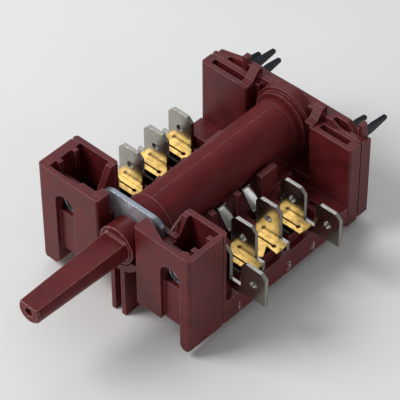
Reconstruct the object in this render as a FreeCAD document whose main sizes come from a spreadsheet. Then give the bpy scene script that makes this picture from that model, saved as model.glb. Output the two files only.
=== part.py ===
import FreeCAD, Part
import math
import os

import Sketcher
from FreeCAD import Placement, Rotation, Vector

# Oven selector switch: an open-frame rotary cam switch with a D-shaped spindle.
#
# Frame: millimetres, +Z up, +X to the right seen from the spindle side, the
# spindle points along -Y.  The origin lies on the spindle axis in the plane of
# the front face that is screwed to the panel, midway between the two screws.

# Every size that can be set by itself is written once, here, in millimetres (angles
# in degrees).  "below" and "above" count from the spindle axis.
SIZES = {
    # moulded front block
    "left_reach": 20.9,           # axis to the left side of all mouldings
    "right_reach": 19.1,          # axis to the right side of all mouldings
    "block_depth": 9.6,           # front face to the seam
    "block_top": 8.4,             # above the axis
    "block_floor": 12.1,          # underside between the feet, below the axis
    "foot_drop": 4.7,             # feet below that underside
    "foot_chamfer": 0.8,
    "gap_half": 4.75,             # half the gap between the two columns
    "front_section": 4.5,         # depth of the wide front part of each column
    "waist_left": 9.4,            # inner face of the left column behind the plate
    "waist_right": 9.2,           # inner face of the right column behind the plate
    "waist_wall": 1.4,            # wall between that face and the pocket
    "waist_floor": 7.5,           # floor behind the plate, below the axis
    "block_wall": 2.2,            # outer side walls
    "skin": 1.0,                  # thin walls round the pockets
    "pocket_depth": 15.0,         # open pockets behind the plate, from the top
    "pocket_floor": 4.4,          # floor of the pockets in front of the plate, above the axis
    "pocket_sill": 0.8,           # top of the wall behind the plate, above the axis
    "notch_depth": 5.6,           # V notch in the left inner wall
    "notch_right": 3.3,           # and in the right one
    "post_inner": 6.8,            # inner end of the post behind the plate's right wing
    "pillar_top": 5.8,            # width of the right column's full height, from the axis
    "corner_boss": 0.9,           # radius of the boss in the right pocket's front corner
    "seam_width": 0.35,           # dark line between block and tray
    "seam_depth": 0.4,
    "corner_radius": 0.7,
    # cradle and ribs below the spindle collar
    "cradle_wall": 1.5,
    "cradle_top": 2.4,            # cradle ends this far below the axis
    "rib_offset": 1.35,           # middle of each rib from the axis
    "rib_width": 1.0,
    "rib_depth": 3.8,
    "rib_drop": 18.5,             # lower end, below the axis
    # screw channels and windows
    "screw_spacing": 28.0,
    "channel_width": 5.0,
    "channel_depth": 1.1,
    "window_wall": 2.1,           # front wall round the windows
    "window_sill": 2.0,           # below the axis
    "window_spring": 1.0,         # where the window's round head starts
    # mounting plate
    "plate_thickness": 1.0,
    "plate_half": 17.6,
    "plate_crown": 7.8,           # top of the middle part, above the axis
    "plate_crown_half": 8.2,
    "plate_crown_round": 3.1,
    "plate_wing": 2.3,            # top of the wings, above the axis
    "plate_drop": 4.6,            # lower edge, below the axis
    "thread_bore": 4.0,           # M4
    "thread_collar": 5.0,         # outside of the plunged collars
    "thread_length": 2.2,         # collar length in front of the plate
    "slot_clearance": 0.05,
    # spindle
    "spindle_reach": 23.4,        # tip in front of the front face
    "tip_radius": 2.75,
    "root_radius": 3.35,
    "flat_tip": 1.65,             # flat above the axis at the tip
    "flat_root": 2.15,            # flat above the axis at the collar
    "flat_fillet": 0.4,           # between the flat and the collar
    "collar_radius": 4.3,
    "neck_radius": 3.0,
    "tip_hole": 2.0,
    "tip_hole_depth": 4.0,
    "bearing_clearance": 0.05,    # round the spindle's neck and the drum's rear journal
    "free_clearance": 0.3,        # where turning pieces pass fixed ones
    # cam drum
    "drum_radius": 5.5,
    "cap_radius": 5.7,            # front end of the drum
    "cap_length": 4.1,
    "lobe_height": 0.3,
    "lobe_width": 3.4,
    "groove_width": 0.4,          # of the groove near the drum's rear end
    "groove_depth": 0.25,
    "groove_inset": 2.0,          # from the groove to the rear cover's hub
    # base tray
    "tray_length": 36.9,          # seam to the rear housing
    "bulkhead": 1.2,
    "tray_wall": 2.2,
    "tray_top": 10.2,             # top of the side walls, below the axis
    "tray_bottom": 15.9,          # below the axis
    "tray_floor": 1.6,
    "guide_gap": 6.45,            # axis to the walls that flank the drum
    "guide_wall": 1.2,
    "guide_drop": 0.7,            # their tops below the axis
    "comb_width": 2.4,
    "comb_top": 7.3,              # below the axis
    "deck_length": 5.0,           # rear deck in front of the rear housing
    "deck_top": 11.4,             # below the axis
    "deck_slot": 3.0,
    "pedestal_width": 1.8,
    "opening_lead": 3.0,          # opening in those walls in front of each contact spring
    "boss_inset": 3.7,            # rings on the outside of those walls, from the rear deck
    "boss_drop": 8.6,             # below the axis
    "boss_radius": 2.7,
    "boss_bore": 1.4,
    "boss_height": 1.0,
    # terminals
    "station_inset": 3.1,         # seam to the first terminal
    "station_pitch": 7.2,
    "tab_width": 6.3,
    "tab_thickness": 0.8,
    "tab_inner": 11.95,           # axis to the inner edge of the tabs
    "tab_top": 2.0,               # above the axis
    "tab_shoulder": 5.8,          # below the axis
    "tab_chamfer": 1.2,
    "tab_hole": 1.7,
    "tab_hole_drop": 4.2,
    "base_overhang": 1.9,         # the foot is wider than the tab by this
    "base_height": 2.2,
    "foot_depth": 11.9,           # below the axis
    "foot_width": 4.3,
    "twin_gap": 2.75,             # between the two tabs of a double terminal
    "twin_drop": 1.1,             # the outer tab sits this much lower
    "twin_lower": 7.3,            # lower edge of the outer tab, below the axis
    # brass leaves and contact springs
    "leaf_thickness": 0.25,
    "leaf_inner": 11.2,
    "leaf_outer": 19.7,
    "leaf_width": 2.5,
    "wide_leaf_width": 5.7,
    "leaf_notch": 2.9,            # how far the V notch of a wide leaf reaches inwards
    "leaf_slit": 0.35,
    "leaf_eye": 0.9,
    "spring_width": 2.5,
    "spring_thickness": 0.35,
    "spring_set_back": 1.5,       # rear edge in front of the terminal's middle
    "spring_level": 8.1,          # underside, below the axis
    "spring_outer": 17.4,
    "spring_bend": 0.6,
    "spring_heel": 7.95,          # axis to the heel where the spring turns upwards
    "spring_lean": 35.0,          # lean of the upper part towards the drum, from upright
    "nose_radius": 0.4,           # middle of the sheet round the nose
    "nose_clearance": 0.1,        # between the nose and a passing lobe
    "nose_tail": 0.6,
    "spring_pivot": 15.9,
    # rear housing and cover
    "rear_depth": 3.6,
    "rear_gap_half": 8.2,
    "rear_top": 4.3,
    "rear_bottom": 16.8,          # below the axis
    "rear_sill": 9.4,             # top of the bridge below the drum
    "rear_slot_width": 1.5,
    "rear_slot_inset": 1.8,
    "rear_slot_depth": 9.0,
    "cover_seam": 0.4,
    "cover_depth": 2.8,
    "cover_lift": 0.4,            # the cover's lower edge above the rear housing's
    "cover_crown": 5.4,
    "cover_front": 1.0,           # front layer of the cover, level with the columns
    "cover_edge": 3.5,            # top of the cover's outer ends, above the axis
    "cover_ramp_left": 6.0,
    "cover_ramp_right": 2.6,
    "cover_shelf": 2.6,           # low ledge at the right end
    "hub_radius": 6.5,
    "hub_length": 2.7,
    "hub_step_radius": 7.3,
    "hub_step_length": 1.6,
    "hook_left": 8.3,             # axis to the inner side of the left hook
    "hook_right": 6.9,
    "hook_rise": 2.8,
    "hook_width": 2.0,
    "hook_depth": 1.3,
    "latch_width": 1.1,           # arms in the corners between the columns and the cover
    "latch_depth": 1.2,
    "lug_width": 1.3,
    "lug_right": 17.6,
    "lug_right_top": 7.1,
    "lug_left": 13.2,
    "lug_left_top": 6.7,
    "blade_level": 1.7,           # middle of the rear blades, above the axis
    "blade_thickness": 0.8,
    "blade_root": 2.0,
    "blade_tip": 0.8,
    "blade_short": 5.7,
    "blade_middle": 7.1,
    "blade_long": 8.5,
    "blade_left_outer": 15.5,     # distances of the blades from the axis
    "blade_left_middle": 13.9,
    "blade_left_inner": 11.2,
    "blade_right_inner": 13.0,
    "blade_right_outer": 15.9,
}

# Cam tracks from the front, each with (start, sweep) of its lobes in degrees, counted
# from +X towards +Z with the spindle at rest.
CAM_TRACKS = (
    ((192.0, 36.0), (262.0, 24.0)),
    ((186.0, 24.0), (232.0, 48.0)),
    ((204.0, 60.0),),
)

# Rear blades: the name of each one's place, its side and the name of its length.
REAR_BLADES = (
    ("blade_left_outer", -1, "blade_short"),
    ("blade_left_middle", -1, "blade_long"),
    ("blade_left_inner", -1, "blade_middle"),
    ("blade_right_inner", 1, "blade_short"),
    ("blade_right_outer", 1, "blade_long"),
)


class Size:
    """A length that knows its value and the cell formula it comes from."""

    def __init__(self, value, text):
        self.value = value
        self.text = text

    def _with(self, other, sign, text):
        other = as_size(other)
        return Size(self.value + sign * other.value, f"({self.text} {text} {other.text})")

    def __add__(self, other):
        return self._with(other, 1, "+")

    def __radd__(self, other):
        return as_size(other) + self

    def __sub__(self, other):
        return self._with(other, -1, "-")

    def __rsub__(self, other):
        return as_size(other) - self

    def __neg__(self):
        return Size(-self.value, f"(0 mm - {self.text})")

    def __mul__(self, factor):
        return Size(self.value * factor, f"({self.text} * {factor})")

    __rmul__ = __mul__

    def __truediv__(self, divisor):
        return self * (1.0 / divisor)


def as_size(value):
    if isinstance(value, Size):
        return value
    return Size(float(value), f"{float(value)} mm")


class Sheet:
    """The spreadsheet of sizes; sheet.name gives that size as a Size."""

    def __init__(self, document, values):
        self.cells = document.addObject("Spreadsheet::Sheet", "Sizes")
        for row, (alias, value) in enumerate(values.items(), start=1):
            self.cells.set(f"A{row}", alias)
            self.cells.set(f"B{row}", str(value))
            self.cells.setAlias(f"B{row}", alias)
        document.recompute()

    def __getattr__(self, alias):
        return Size(float(getattr(self.cells, alias)), f"(Sizes.{alias} * 1 mm)")


DOC = FreeCAD.newDocument("SelectorSwitch")
S = Sheet(DOC, SIZES)
PIECES = []

# A profile is drawn on one of the body's planes and runs along that plane's axis.
# Towards +Y a plane's own normal points backwards, so pads are reversed there.
PLANES = {"XY": ("XY_Plane", 1), "XZ": ("XZ_Plane", -1), "YZ": ("YZ_Plane", 1)}


def bind(item, prop, size):
    """Sets a property to a size and keeps it tied to the sheet."""
    item.setExpression(prop, as_size(size).text)


def place(item, x, y, z, rotation=None):
    """Places an object at sizes (x, y, z)."""
    x, y, z = as_size(x), as_size(y), as_size(z)
    turn = rotation if rotation is not None else Rotation()
    item.Placement = Placement(Vector(x.value, y.value, z.value), turn)
    for axis, size in zip("xyz", (x, y, z)):
        bind(item, f"Placement.Base.{axis}", size)


def new_body(name):
    body = DOC.addObject("PartDesign::Body", name)
    body.Label = name
    return body


def attached_sketch(body, plane, start):
    """A sketch on one of the body's origin planes, moved to `start` along its axis."""
    role, sign = PLANES[plane]
    sketch = body.newObject("Sketcher::SketchObject", f"{body.Name}_sketch")
    support = next(f for f in body.Origin.OriginFeatures if f.Role == role)
    sketch.AttachmentSupport = [(support, "")]
    sketch.MapMode = "FlatFace"
    bind(sketch, "AttachmentOffset.Base.z", start if sign > 0 else -as_size(start))
    return sketch


def pin(sketch, geometry, vertex, u, v):
    """Fixes one point of the sketch at (u, v) from the origin."""
    for kind, size in (("DistanceX", as_size(u)), ("DistanceY", as_size(v))):
        index = sketch.addConstraint(
            Sketcher.Constraint(kind, -1, 1, geometry, vertex, size.value))
        sketch.setExpression(f"Constraints[{index}]", size.text)


def draw_polygon(sketch, points):
    """A closed outline through the points, each fixed by its own two sizes."""
    corners = [Vector(as_size(u).value, as_size(v).value, 0) for u, v in points]
    count = len(corners)
    first = sketch.GeometryCount
    for i in range(count):
        sketch.addGeometry(Part.LineSegment(corners[i], corners[(i + 1) % count]), False)
    for i in range(count):
        following = first + (i + 1) % count
        sketch.addConstraint(Sketcher.Constraint("Coincident", first + i, 2, following, 1))
    for i, (u, v) in enumerate(points):
        pin(sketch, first + i, 1, u, v)


def draw_circle(sketch, u, v, radius):
    radius = as_size(radius)
    centre = Vector(as_size(u).value, as_size(v).value, 0)
    index = sketch.addGeometry(Part.Circle(centre, Vector(0, 0, 1), radius.value), False)
    pin(sketch, index, 3, u, v)
    rule = sketch.addConstraint(Sketcher.Constraint("Radius", index, radius.value))
    sketch.setExpression(f"Constraints[{rule}]", radius.text)


def rectangle(u0, u1, v0, v1):
    return [(u0, v0), (u1, v0), (u1, v1), (u0, v1)]


def prism(body, plane, start, end, outlines=(), circles=(), cut=False):
    """Adds (or cuts) straight prisms from `start` to `end` along the plane's axis."""
    before = body.Tip.Shape.Volume if body.Tip else 0.0
    sketch = attached_sketch(body, plane, start)
    for points in outlines:
        draw_polygon(sketch, points)
    for u, v, radius in circles:
        draw_circle(sketch, u, v, radius)
    sketch.recompute()
    kind = "PartDesign::Pocket" if cut else "PartDesign::Pad"
    feature = body.newObject(kind, f"{body.Name}_{'cut' if cut else 'pad'}")
    feature.Profile = sketch
    backwards = PLANES[plane][1] < 0
    feature.Reversed = backwards != cut
    bind(feature, "Length", as_size(end) - start)
    feature.recompute()
    change = feature.Shape.Volume - before
    if (change >= 0) if cut else (change <= 0):
        raise ValueError(f"{feature.Name} changes nothing")
    return feature


def revolve(body, points):
    """Turns a closed half profile, points (radius, y), round the spindle axis."""
    sketch = attached_sketch(body, "XY", 0)
    draw_polygon(sketch, points)
    feature = body.newObject("PartDesign::Revolution", f"{body.Name}_turn")
    feature.Profile = sketch
    feature.ReferenceAxis = (sketch, ["V_Axis"])
    feature.Angle = 360
    sketch.recompute()
    feature.recompute()
    return feature


def round_edges(body, radius, chosen):
    """Rounds the edges of the body's shape for which chosen(edge) is true."""
    base = body.Tip
    names = [f"Edge{i}" for i, edge in enumerate(base.Shape.Edges, start=1) if chosen(edge)]
    if not names:
        raise ValueError(f"{body.Name}: no edge to round")
    fillet = body.newObject("PartDesign::Fillet", f"{body.Name}_fillet")
    fillet.Base = (base, names)
    bind(fillet, "Radius", radius)
    fillet.recompute()
    return fillet


def upright_at(x, y):
    """Chooses straight vertical edges at sizes (x, y)."""
    x, y = as_size(x).value, as_size(y).value

    def chosen(edge):
        box = edge.BoundBox
        upright = box.ZLength > 1.0 and box.XLength < 1e-4 and box.YLength < 1e-4
        return upright and abs(box.XMin - x) < 1e-4 and abs(box.YMin - y) < 1e-4

    return chosen


def finish(piece):
    """Lists a finished piece, whose label names its file."""
    PIECES.append(piece)
    return piece


# Places worked out from the sizes
PLATE_FRONT = S.front_section
PLATE_BACK = PLATE_FRONT + S.plate_thickness
TRAY_START = S.block_depth
TRAY_INSIDE = TRAY_START + S.bulkhead
DRUM_FRONT = PLATE_BACK + S.free_clearance
CAP_END = DRUM_FRONT + S.cap_length
REAR_START = TRAY_START + S.tray_length
DECK_START = REAR_START - S.deck_length
COVER_START = REAR_START + S.rear_depth
COVER_END = COVER_START + S.cover_depth
HUB_FRONT = COVER_START - S.hub_length
REAR_GROOVE = HUB_FRONT - S.groove_inset
FOOT_LEVEL = -(S.block_floor + S.foot_drop)
GUIDE_OUTER = S.guide_gap + S.guide_wall
FLOOR_LEVEL = -S.tray_bottom + S.tray_floor
SCREW_X = S.screw_spacing / 2
CHANNEL_HALF = S.channel_width / 2
TAB_OUTER = S.tab_inner + S.tab_width
BASE_BOTTOM = -S.tab_shoulder - S.base_height
FOOT_INNER = S.tab_inner + S.skin / 2


def station(index):
    """Middle of terminal number `index` (0 is nearest the front) along Y."""
    return TRAY_START + S.station_inset + S.station_pitch * index


def mirrored(points, side):
    """The outline on the right side (side 1) or mirrored to the left (side -1)."""
    return points if side > 0 else [(-as_size(x), y) for x, y in points]


def both_sides(points):
    return [mirrored(points, side) for side in (-1, 1)]


def reach(side):
    return S.right_reach if side > 0 else S.left_reach


def build_front_housing():
    body = new_body("front_housing")
    cut = S.foot_chamfer
    for side in (-1, 1):
        outer = reach(side)
        inner_foot = SCREW_X + CHANNEL_HALF
        column = [
            (S.gap_half, S.block_top),
            (outer, S.block_top),
            (outer, FOOT_LEVEL + cut),
            (outer - cut, FOOT_LEVEL),
            (inner_foot + cut, FOOT_LEVEL),
            (inner_foot, FOOT_LEVEL + cut),
            (inner_foot, -S.block_floor),
            (S.gap_half + cut, -S.block_floor),
            (S.gap_half, -S.block_floor + cut),
        ]
        prism(body, "XZ", 0, S.block_depth, [mirrored(column, side)])
        if side < 0:
            # the web joins the two columns before the second one is added
            web = rectangle(-S.gap_half - S.skin, S.gap_half + S.skin,
                            -S.block_floor + cut, -S.cradle_top)
            prism(body, "XZ", PLATE_BACK, S.block_depth, [web])
            cradle = S.collar_radius + S.free_clearance + S.cradle_wall
            prism(body, "XZ", 0, PLATE_BACK, circles=[(0, 0, cradle)])

    # two ribs hang from the cradle, below the spindle
    rib = rectangle(S.rib_offset - S.rib_width / 2, S.rib_offset + S.rib_width / 2,
                    -S.rib_drop, -S.collar_radius - S.free_clearance - S.cradle_wall / 2)
    prism(body, "XZ", 0, S.rib_depth, both_sides(rib))

    # behind the plate the columns are narrower, so that the drum has room
    waist = rectangle(-S.waist_left, S.waist_right, PLATE_BACK, S.block_depth)
    prism(body, "XY", -S.waist_floor, S.block_top, [waist], cut=True)

    # room for the collar: the cradle is left only below the axis
    opening = rectangle(-S.gap_half, S.gap_half, -S.cradle_top, S.block_top)
    prism(body, "XZ", 0, PLATE_BACK, [opening], cut=True)
    prism(body, "XZ", 0, PLATE_BACK, circles=[(0, 0, S.collar_radius + S.free_clearance)],
          cut=True)

    # pockets, open at the top and at the seam, shallow in front of the plate, deeper
    # over it and deepest behind it
    left_end, left_inner = -S.left_reach + S.block_wall, -S.waist_left - S.waist_wall
    right_inner, right_end = S.waist_right + S.waist_wall, S.right_reach - S.block_wall / 2
    pocket_left = [
        (left_end, S.skin),
        (-SCREW_X + CHANNEL_HALF + S.skin, S.skin),
        (-SCREW_X + CHANNEL_HALF + S.skin, 2 * S.skin),
        (-S.gap_half - 2 * S.skin, 2 * S.skin),
        (-S.gap_half - 2 * S.skin, S.front_section - S.skin),
        (left_inner, S.front_section),
        (left_inner, S.block_depth),
        (left_end, S.block_depth),
    ]
    pocket_right = [
        (S.gap_half - S.skin, PLATE_FRONT - S.skin),
        (S.pillar_top, PLATE_FRONT - S.skin),
        (SCREW_X - CHANNEL_HALF, S.skin),
        (right_end, S.skin),
        (right_end, S.block_depth),
        (right_inner, S.block_depth),
        (right_inner, PLATE_BACK),
        (S.gap_half - S.skin, PLATE_BACK),
    ]
    steps = (
        (S.pocket_sill, PLATE_FRONT - S.slot_clearance),
        (S.block_top - S.pocket_depth, PLATE_BACK + S.skin),
    )
    prism(body, "XY", S.pocket_floor, S.block_top, [pocket_left, pocket_right], cut=True)
    for bottom, front in steps:
        wells = [rectangle(left_end, left_inner, front, S.block_depth),
                 rectangle(right_inner, right_end, front, S.block_depth)]
        prism(body, "XY", bottom, S.block_top, wells, cut=True)

    # V notches in the inner walls, falling towards the plate
    for start, end, foot, depth in (
            (left_inner, -S.gap_half, PLATE_BACK, S.notch_depth),
            (S.gap_half + 2 * S.skin, right_inner, PLATE_BACK + S.skin, S.notch_right)):
        notch = [
            (PLATE_FRONT - S.skin, S.block_top),
            (S.block_depth - S.skin, S.block_top),
            (foot, S.block_top - depth),
            (PLATE_FRONT - S.skin, S.block_top - depth),
        ]
        prism(body, "YZ", start, end, [notch], cut=True)
    post = rectangle(S.post_inner, S.waist_right + S.waist_wall / 2,
                     -S.waist_floor - S.skin / 2, S.block_top - S.notch_right)
    prism(body, "XZ", PLATE_BACK, PLATE_BACK + S.skin, [post])

    # stiffening ribs inside the pockets and a boss in the right one
    stiffeners = []
    for y in (S.front_section * 0.75, S.block_depth - 2 * S.skin):
        front, back = y - S.skin / 2, y + S.skin / 2
        stiffeners.append(rectangle(-S.left_reach + S.block_wall / 2,
                                    -S.left_reach + S.block_wall + S.skin, front, back))
        stiffeners.append(rectangle(S.right_reach - S.block_wall,
                                    S.right_reach - S.block_wall / 4, front, back))
    prism(body, "XY", S.pocket_floor - S.skin / 2, S.block_top, stiffeners)
    boss = (right_end - S.skin, S.corner_boss + S.skin / 4, S.corner_boss)
    prism(body, "XY", S.pocket_floor - S.skin / 2, S.block_top, circles=[boss])

    # slot of the mounting plate, then the screw channels and windows
    # the plate rests on the slot's floor and against its back wall
    clear = S.slot_clearance
    slot_front, slot_back = PLATE_FRONT - clear, PLATE_BACK
    slot_end = S.plate_half + clear
    crown = S.plate_crown_half + clear
    prism(body, "XZ", slot_front, slot_back,
          [rectangle(-slot_end, slot_end, -S.plate_drop, S.plate_wing + clear)], cut=True)
    prism(body, "XZ", slot_front, slot_back,
          [rectangle(-crown, crown, S.plate_wing - clear, S.block_top)], cut=True)
    left, right = SCREW_X - CHANNEL_HALF, SCREW_X + CHANNEL_HALF
    channel = rectangle(left, right, -S.block_floor, S.window_spring)
    prism(body, "XZ", 0, S.channel_depth, both_sides(channel), cut=True)
    window = rectangle(left, right, -S.window_sill, S.window_spring)
    prism(body, "XZ", 0, S.window_wall, both_sides(window), cut=True)
    heads = [(SCREW_X * side, S.window_spring, CHANNEL_HALF) for side in (-1, 1)]
    prism(body, "XZ", 0, S.window_wall, circles=heads, cut=True)
    room = rectangle(left - S.skin, right + S.skin, -S.plate_drop, S.pocket_floor - S.skin)
    prism(body, "XZ", S.window_wall, slot_front, both_sides(room), cut=True)

    # shadow line at the seam, on both sides
    seam = rectangle(S.block_depth - S.seam_width, S.block_depth, FOOT_LEVEL, S.block_top)
    prism(body, "YZ", S.right_reach - S.seam_depth, S.right_reach, [seam], cut=True)
    prism(body, "YZ", -S.left_reach, -S.left_reach + S.seam_depth, [seam], cut=True)

    for x in (-S.left_reach, S.right_reach, -S.gap_half, S.gap_half):
        round_edges(body, S.corner_radius, upright_at(x, 0))
    return finish(body)


def build_base_tray():
    body = new_body("base_tray")
    left, right = -S.left_reach, S.right_reach
    bulkhead = [
        (left, S.block_top), (-S.waist_left, S.block_top), (-S.waist_left, -S.waist_floor),
        (S.waist_right, -S.waist_floor), (S.waist_right, S.block_top), (right, S.block_top),
        (right, -S.tray_bottom), (left, -S.tray_bottom),
    ]
    prism(body, "XZ", TRAY_START, TRAY_INSIDE, [bulkhead])
    prism(body, "XZ", TRAY_START, REAR_START, [rectangle(left, right, -S.tray_bottom, -S.tray_top)])
    inside = rectangle(left + S.tray_wall, right - S.tray_wall, TRAY_INSIDE, DECK_START)
    prism(body, "XY", FLOOR_LEVEL, -S.tray_top, [inside], cut=True)
    prism(body, "XY", -S.deck_top, -S.tray_top, [rectangle(left, right, DECK_START, REAR_START)],
          cut=True)

    # walls that flank the drum, and combs that carry the terminals
    # the walls are lower behind the middle of the rings on their outsides
    boss_station = DECK_START - S.boss_inset
    boss_top = S.boss_radius - S.boss_drop
    for top, start, end in ((-S.guide_drop, TRAY_START, boss_station),
                            (boss_top, boss_station, DECK_START + S.skin)):
        guides = rectangle(S.guide_gap, GUIDE_OUTER, start, end)
        prism(body, "XY", FLOOR_LEVEL - S.skin / 2, top, both_sides(guides))
    combs, seats, feet, pedestals = [], [], [], []
    clear = S.slot_clearance
    for side in (-1, 1):
        chamber_end = reach(side) - S.tray_wall
        for index in range(4):
            middle = station(index)
            half_comb, half_slot = S.comb_width / 2, S.tab_thickness / 2 + clear
            comb = rectangle(GUIDE_OUTER - S.skin / 2, chamber_end + S.skin / 2,
                             middle - half_comb, middle + half_comb)
            seat = rectangle(S.tab_inner - clear, TAB_OUTER + S.base_overhang,
                             middle - half_slot, middle + half_slot)
            foot = rectangle(FOOT_INNER - clear, FOOT_INNER + S.foot_width + clear,
                             middle - half_slot, middle + half_slot)
            combs.append(mirrored(comb, side))
            seats.append(mirrored(seat, side))
            feet.append(mirrored(foot, side))
    prism(body, "XY", FLOOR_LEVEL - S.skin / 2, -S.comb_top, combs)
    prism(body, "XY", BASE_BOTTOM, -S.comb_top, seats, cut=True)
    prism(body, "XY", -S.foot_depth, BASE_BOTTOM, feet, cut=True)

    # openings in the guide walls, where the contact springs reach the drum, and the
    # pedestals that carry those springs
    openings = []
    for index in range(1, 4):
        back = station(index) - S.spring_set_back
        openings.append(rectangle(back - S.spring_width - S.opening_lead, back + S.skin / 2,
                                  -S.spring_level - S.skin, -S.guide_drop))
        block = rectangle(S.spring_pivot, S.spring_pivot + S.pedestal_width,
                          back - S.spring_width, back)
        pedestals += both_sides(block)
    prism(body, "YZ", S.guide_gap, GUIDE_OUTER, openings, cut=True)
    prism(body, "YZ", -GUIDE_OUTER, -S.guide_gap, openings, cut=True)
    prism(body, "XY", FLOOR_LEVEL - S.skin / 2, -S.spring_level, pedestals)

    for start, end in ((GUIDE_OUTER, GUIDE_OUTER + S.boss_height),
                       (-GUIDE_OUTER - S.boss_height, -GUIDE_OUTER)):
        ring = [(boss_station, -S.boss_drop, radius) for radius in (S.boss_radius, S.boss_bore)]
        prism(body, "YZ", start, end, circles=ring)

    # notches in the rear deck
    deck = rectangle(S.tab_inner, S.tab_inner + S.deck_slot,
                     DECK_START + S.skin, DECK_START + 2 * S.skin)
    prism(body, "XY", -S.deck_top - 2 * S.skin, -S.deck_top, both_sides(deck), cut=True)
    for x in (left, right, -S.waist_left, S.waist_right):
        round_edges(body, S.corner_radius, upright_at(x, TRAY_INSIDE))
    return finish(body)


def build_rear_housing():
    body = new_body("rear_housing")
    left, right = -S.left_reach, S.right_reach
    frame = [
        (left, S.rear_top), (-S.rear_gap_half, S.rear_top), (-S.rear_gap_half, -S.rear_sill),
        (S.rear_gap_half, -S.rear_sill), (S.rear_gap_half, S.rear_top), (right, S.rear_top),
        (right, -S.rear_bottom), (left, -S.rear_bottom),
    ]
    prism(body, "XZ", REAR_START, COVER_START, [frame])
    for side in (-1, 1):
        slot = rectangle(S.rear_gap_half + S.rear_slot_inset, reach(side) - S.rear_slot_inset,
                         COVER_START - S.skin - S.rear_slot_width, COVER_START - S.skin)
        prism(body, "XY", S.rear_top - S.rear_slot_depth, S.rear_top, [mirrored(slot, side)], cut=True)
    seam = rectangle(COVER_START - S.cover_seam, COVER_START, -S.rear_bottom, S.rear_top)
    prism(body, "YZ", right - S.seam_depth, right, [seam], cut=True)
    prism(body, "YZ", left, left + S.seam_depth, [seam], cut=True)
    for x in (left, right, -S.rear_gap_half, S.rear_gap_half):
        round_edges(body, S.corner_radius, upright_at(x, REAR_START))
    return finish(body)


def build_rear_cover():
    body = new_body("rear_cover")
    left, right = -S.left_reach, S.right_reach
    shoulder = S.rear_gap_half + S.hook_width
    layer_end = COVER_START + S.cover_front
    lower_edge = S.cover_lift - S.rear_bottom
    front_layer = [
        (left, S.rear_top), (-shoulder, S.rear_top), (-shoulder, S.cover_crown),
        (shoulder + S.rear_slot_inset / 2, S.cover_crown),
        (shoulder + 2 * S.rear_slot_inset, S.rear_top),
        (right, S.rear_top), (right, lower_edge), (left, lower_edge),
    ]
    shelf = right - S.cover_shelf
    back_layer = [
        (left, S.cover_edge), (left + S.cover_ramp_left, S.cover_crown - S.cover_seam),
        (0, S.cover_crown), (shelf - S.cover_ramp_right, S.cover_crown), (shelf, S.cover_edge),
        (right, S.cover_edge), (right, lower_edge), (left, lower_edge),
    ]
    prism(body, "XZ", COVER_START, layer_end, [front_layer])
    prism(body, "XZ", layer_end, COVER_END, [back_layer])
    bore = S.drum_radius + S.bearing_clearance
    prism(body, "XZ", HUB_FRONT, layer_end, circles=[(0, 0, S.hub_radius)])
    prism(body, "XZ", COVER_START - S.hub_step_length, layer_end,
          circles=[(0, 0, S.hub_step_radius)])
    prism(body, "XZ", HUB_FRONT, layer_end, circles=[(0, 0, bore)], cut=True)

    # latch hooks that reach over the columns, and their arms in the corners
    slope_start = REAR_START + S.cover_seam
    hook_top = S.rear_top + S.hook_rise
    hook = [
        (slope_start, S.rear_top),
        (COVER_START + S.hook_depth, S.rear_top),
        (COVER_START + S.hook_depth, hook_top),
        (COVER_START, hook_top),
        (slope_start + 1.5 * S.skin, S.rear_top + S.hook_rise / 4),
        (slope_start, S.rear_top + S.hook_rise / 10),
    ]
    prism(body, "YZ", -S.hook_left - S.hook_width, -S.hook_left, [hook])
    prism(body, "YZ", S.hook_right, S.hook_right + S.hook_width, [hook])
    arm = rectangle(S.rear_gap_half - S.latch_width, S.rear_gap_half,
                    COVER_START - S.latch_depth, layer_end)
    prism(body, "XY", -S.rear_sill, S.rear_top, both_sides(arm))

    # shallow slots behind the columns
    slots = []
    for side in (-1, 1):
        slot = rectangle(shoulder + S.rear_slot_inset / 2, reach(side) - 2 * S.rear_slot_inset,
                         layer_end - S.skin / 2, layer_end + S.skin / 2)
        slots.append(mirrored(slot, side))
    prism(body, "XY", S.rear_top - S.rear_slot_depth / 3, S.cover_crown, slots, cut=True)

    # lugs on the upper edge
    for place_x, top in ((S.lug_right, S.lug_right_top), (-S.lug_left, S.lug_left_top)):
        half = S.lug_width / 2
        lug = [
            (place_x - half, S.cover_edge - S.skin), (place_x + half, S.cover_edge - S.skin),
            (place_x + half / 2, top), (place_x - half, top),
        ]
        prism(body, "XZ", COVER_END - 1.5 * S.skin, COVER_END, [lug])
    return finish(body)


def build_cam_drum():
    turned = new_body("drum_core")
    floor = S.drum_radius - S.groove_depth
    groove_end = REAR_GROOVE + S.groove_width
    profile = [
        (0, DRUM_FRONT),
        (S.cap_radius, DRUM_FRONT),
        (S.cap_radius, CAP_END),
        (S.drum_radius, CAP_END),
        (S.drum_radius, REAR_GROOVE),
        (floor, REAR_GROOVE),
        (floor, groove_end),
        (S.drum_radius, groove_end),
        (S.drum_radius, COVER_START),
        (0, COVER_START),
    ]
    revolve(turned, profile)

    lobes = []
    for index, track in enumerate(CAM_TRACKS, start=1):
        middle = station(index) - S.spring_set_back - S.spring_width / 2
        for start, sweep in track:
            lobe = DOC.addObject("Part::Cylinder", f"lobe_{index}")
            bind(lobe, "Radius", S.drum_radius + S.lobe_height)
            bind(lobe, "Height", S.lobe_width)
            lobe.Angle = sweep
            # the cylinder's own axis is turned to -Y and its start to the lobe's start
            turn = Rotation(Vector(1, 0, 0), 90) * Rotation(Vector(0, 0, 1), start)
            place(lobe, 0, middle + S.lobe_width / 2, 0, turn)
            lobes.append(lobe)
    drum = DOC.addObject("Part::MultiFuse", "cam_drum")
    drum.Label = "cam_drum"
    drum.Shapes = [turned] + lobes
    for item in [turned] + lobes + [drum]:
        item.recompute()
    return finish(drum)


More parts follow.
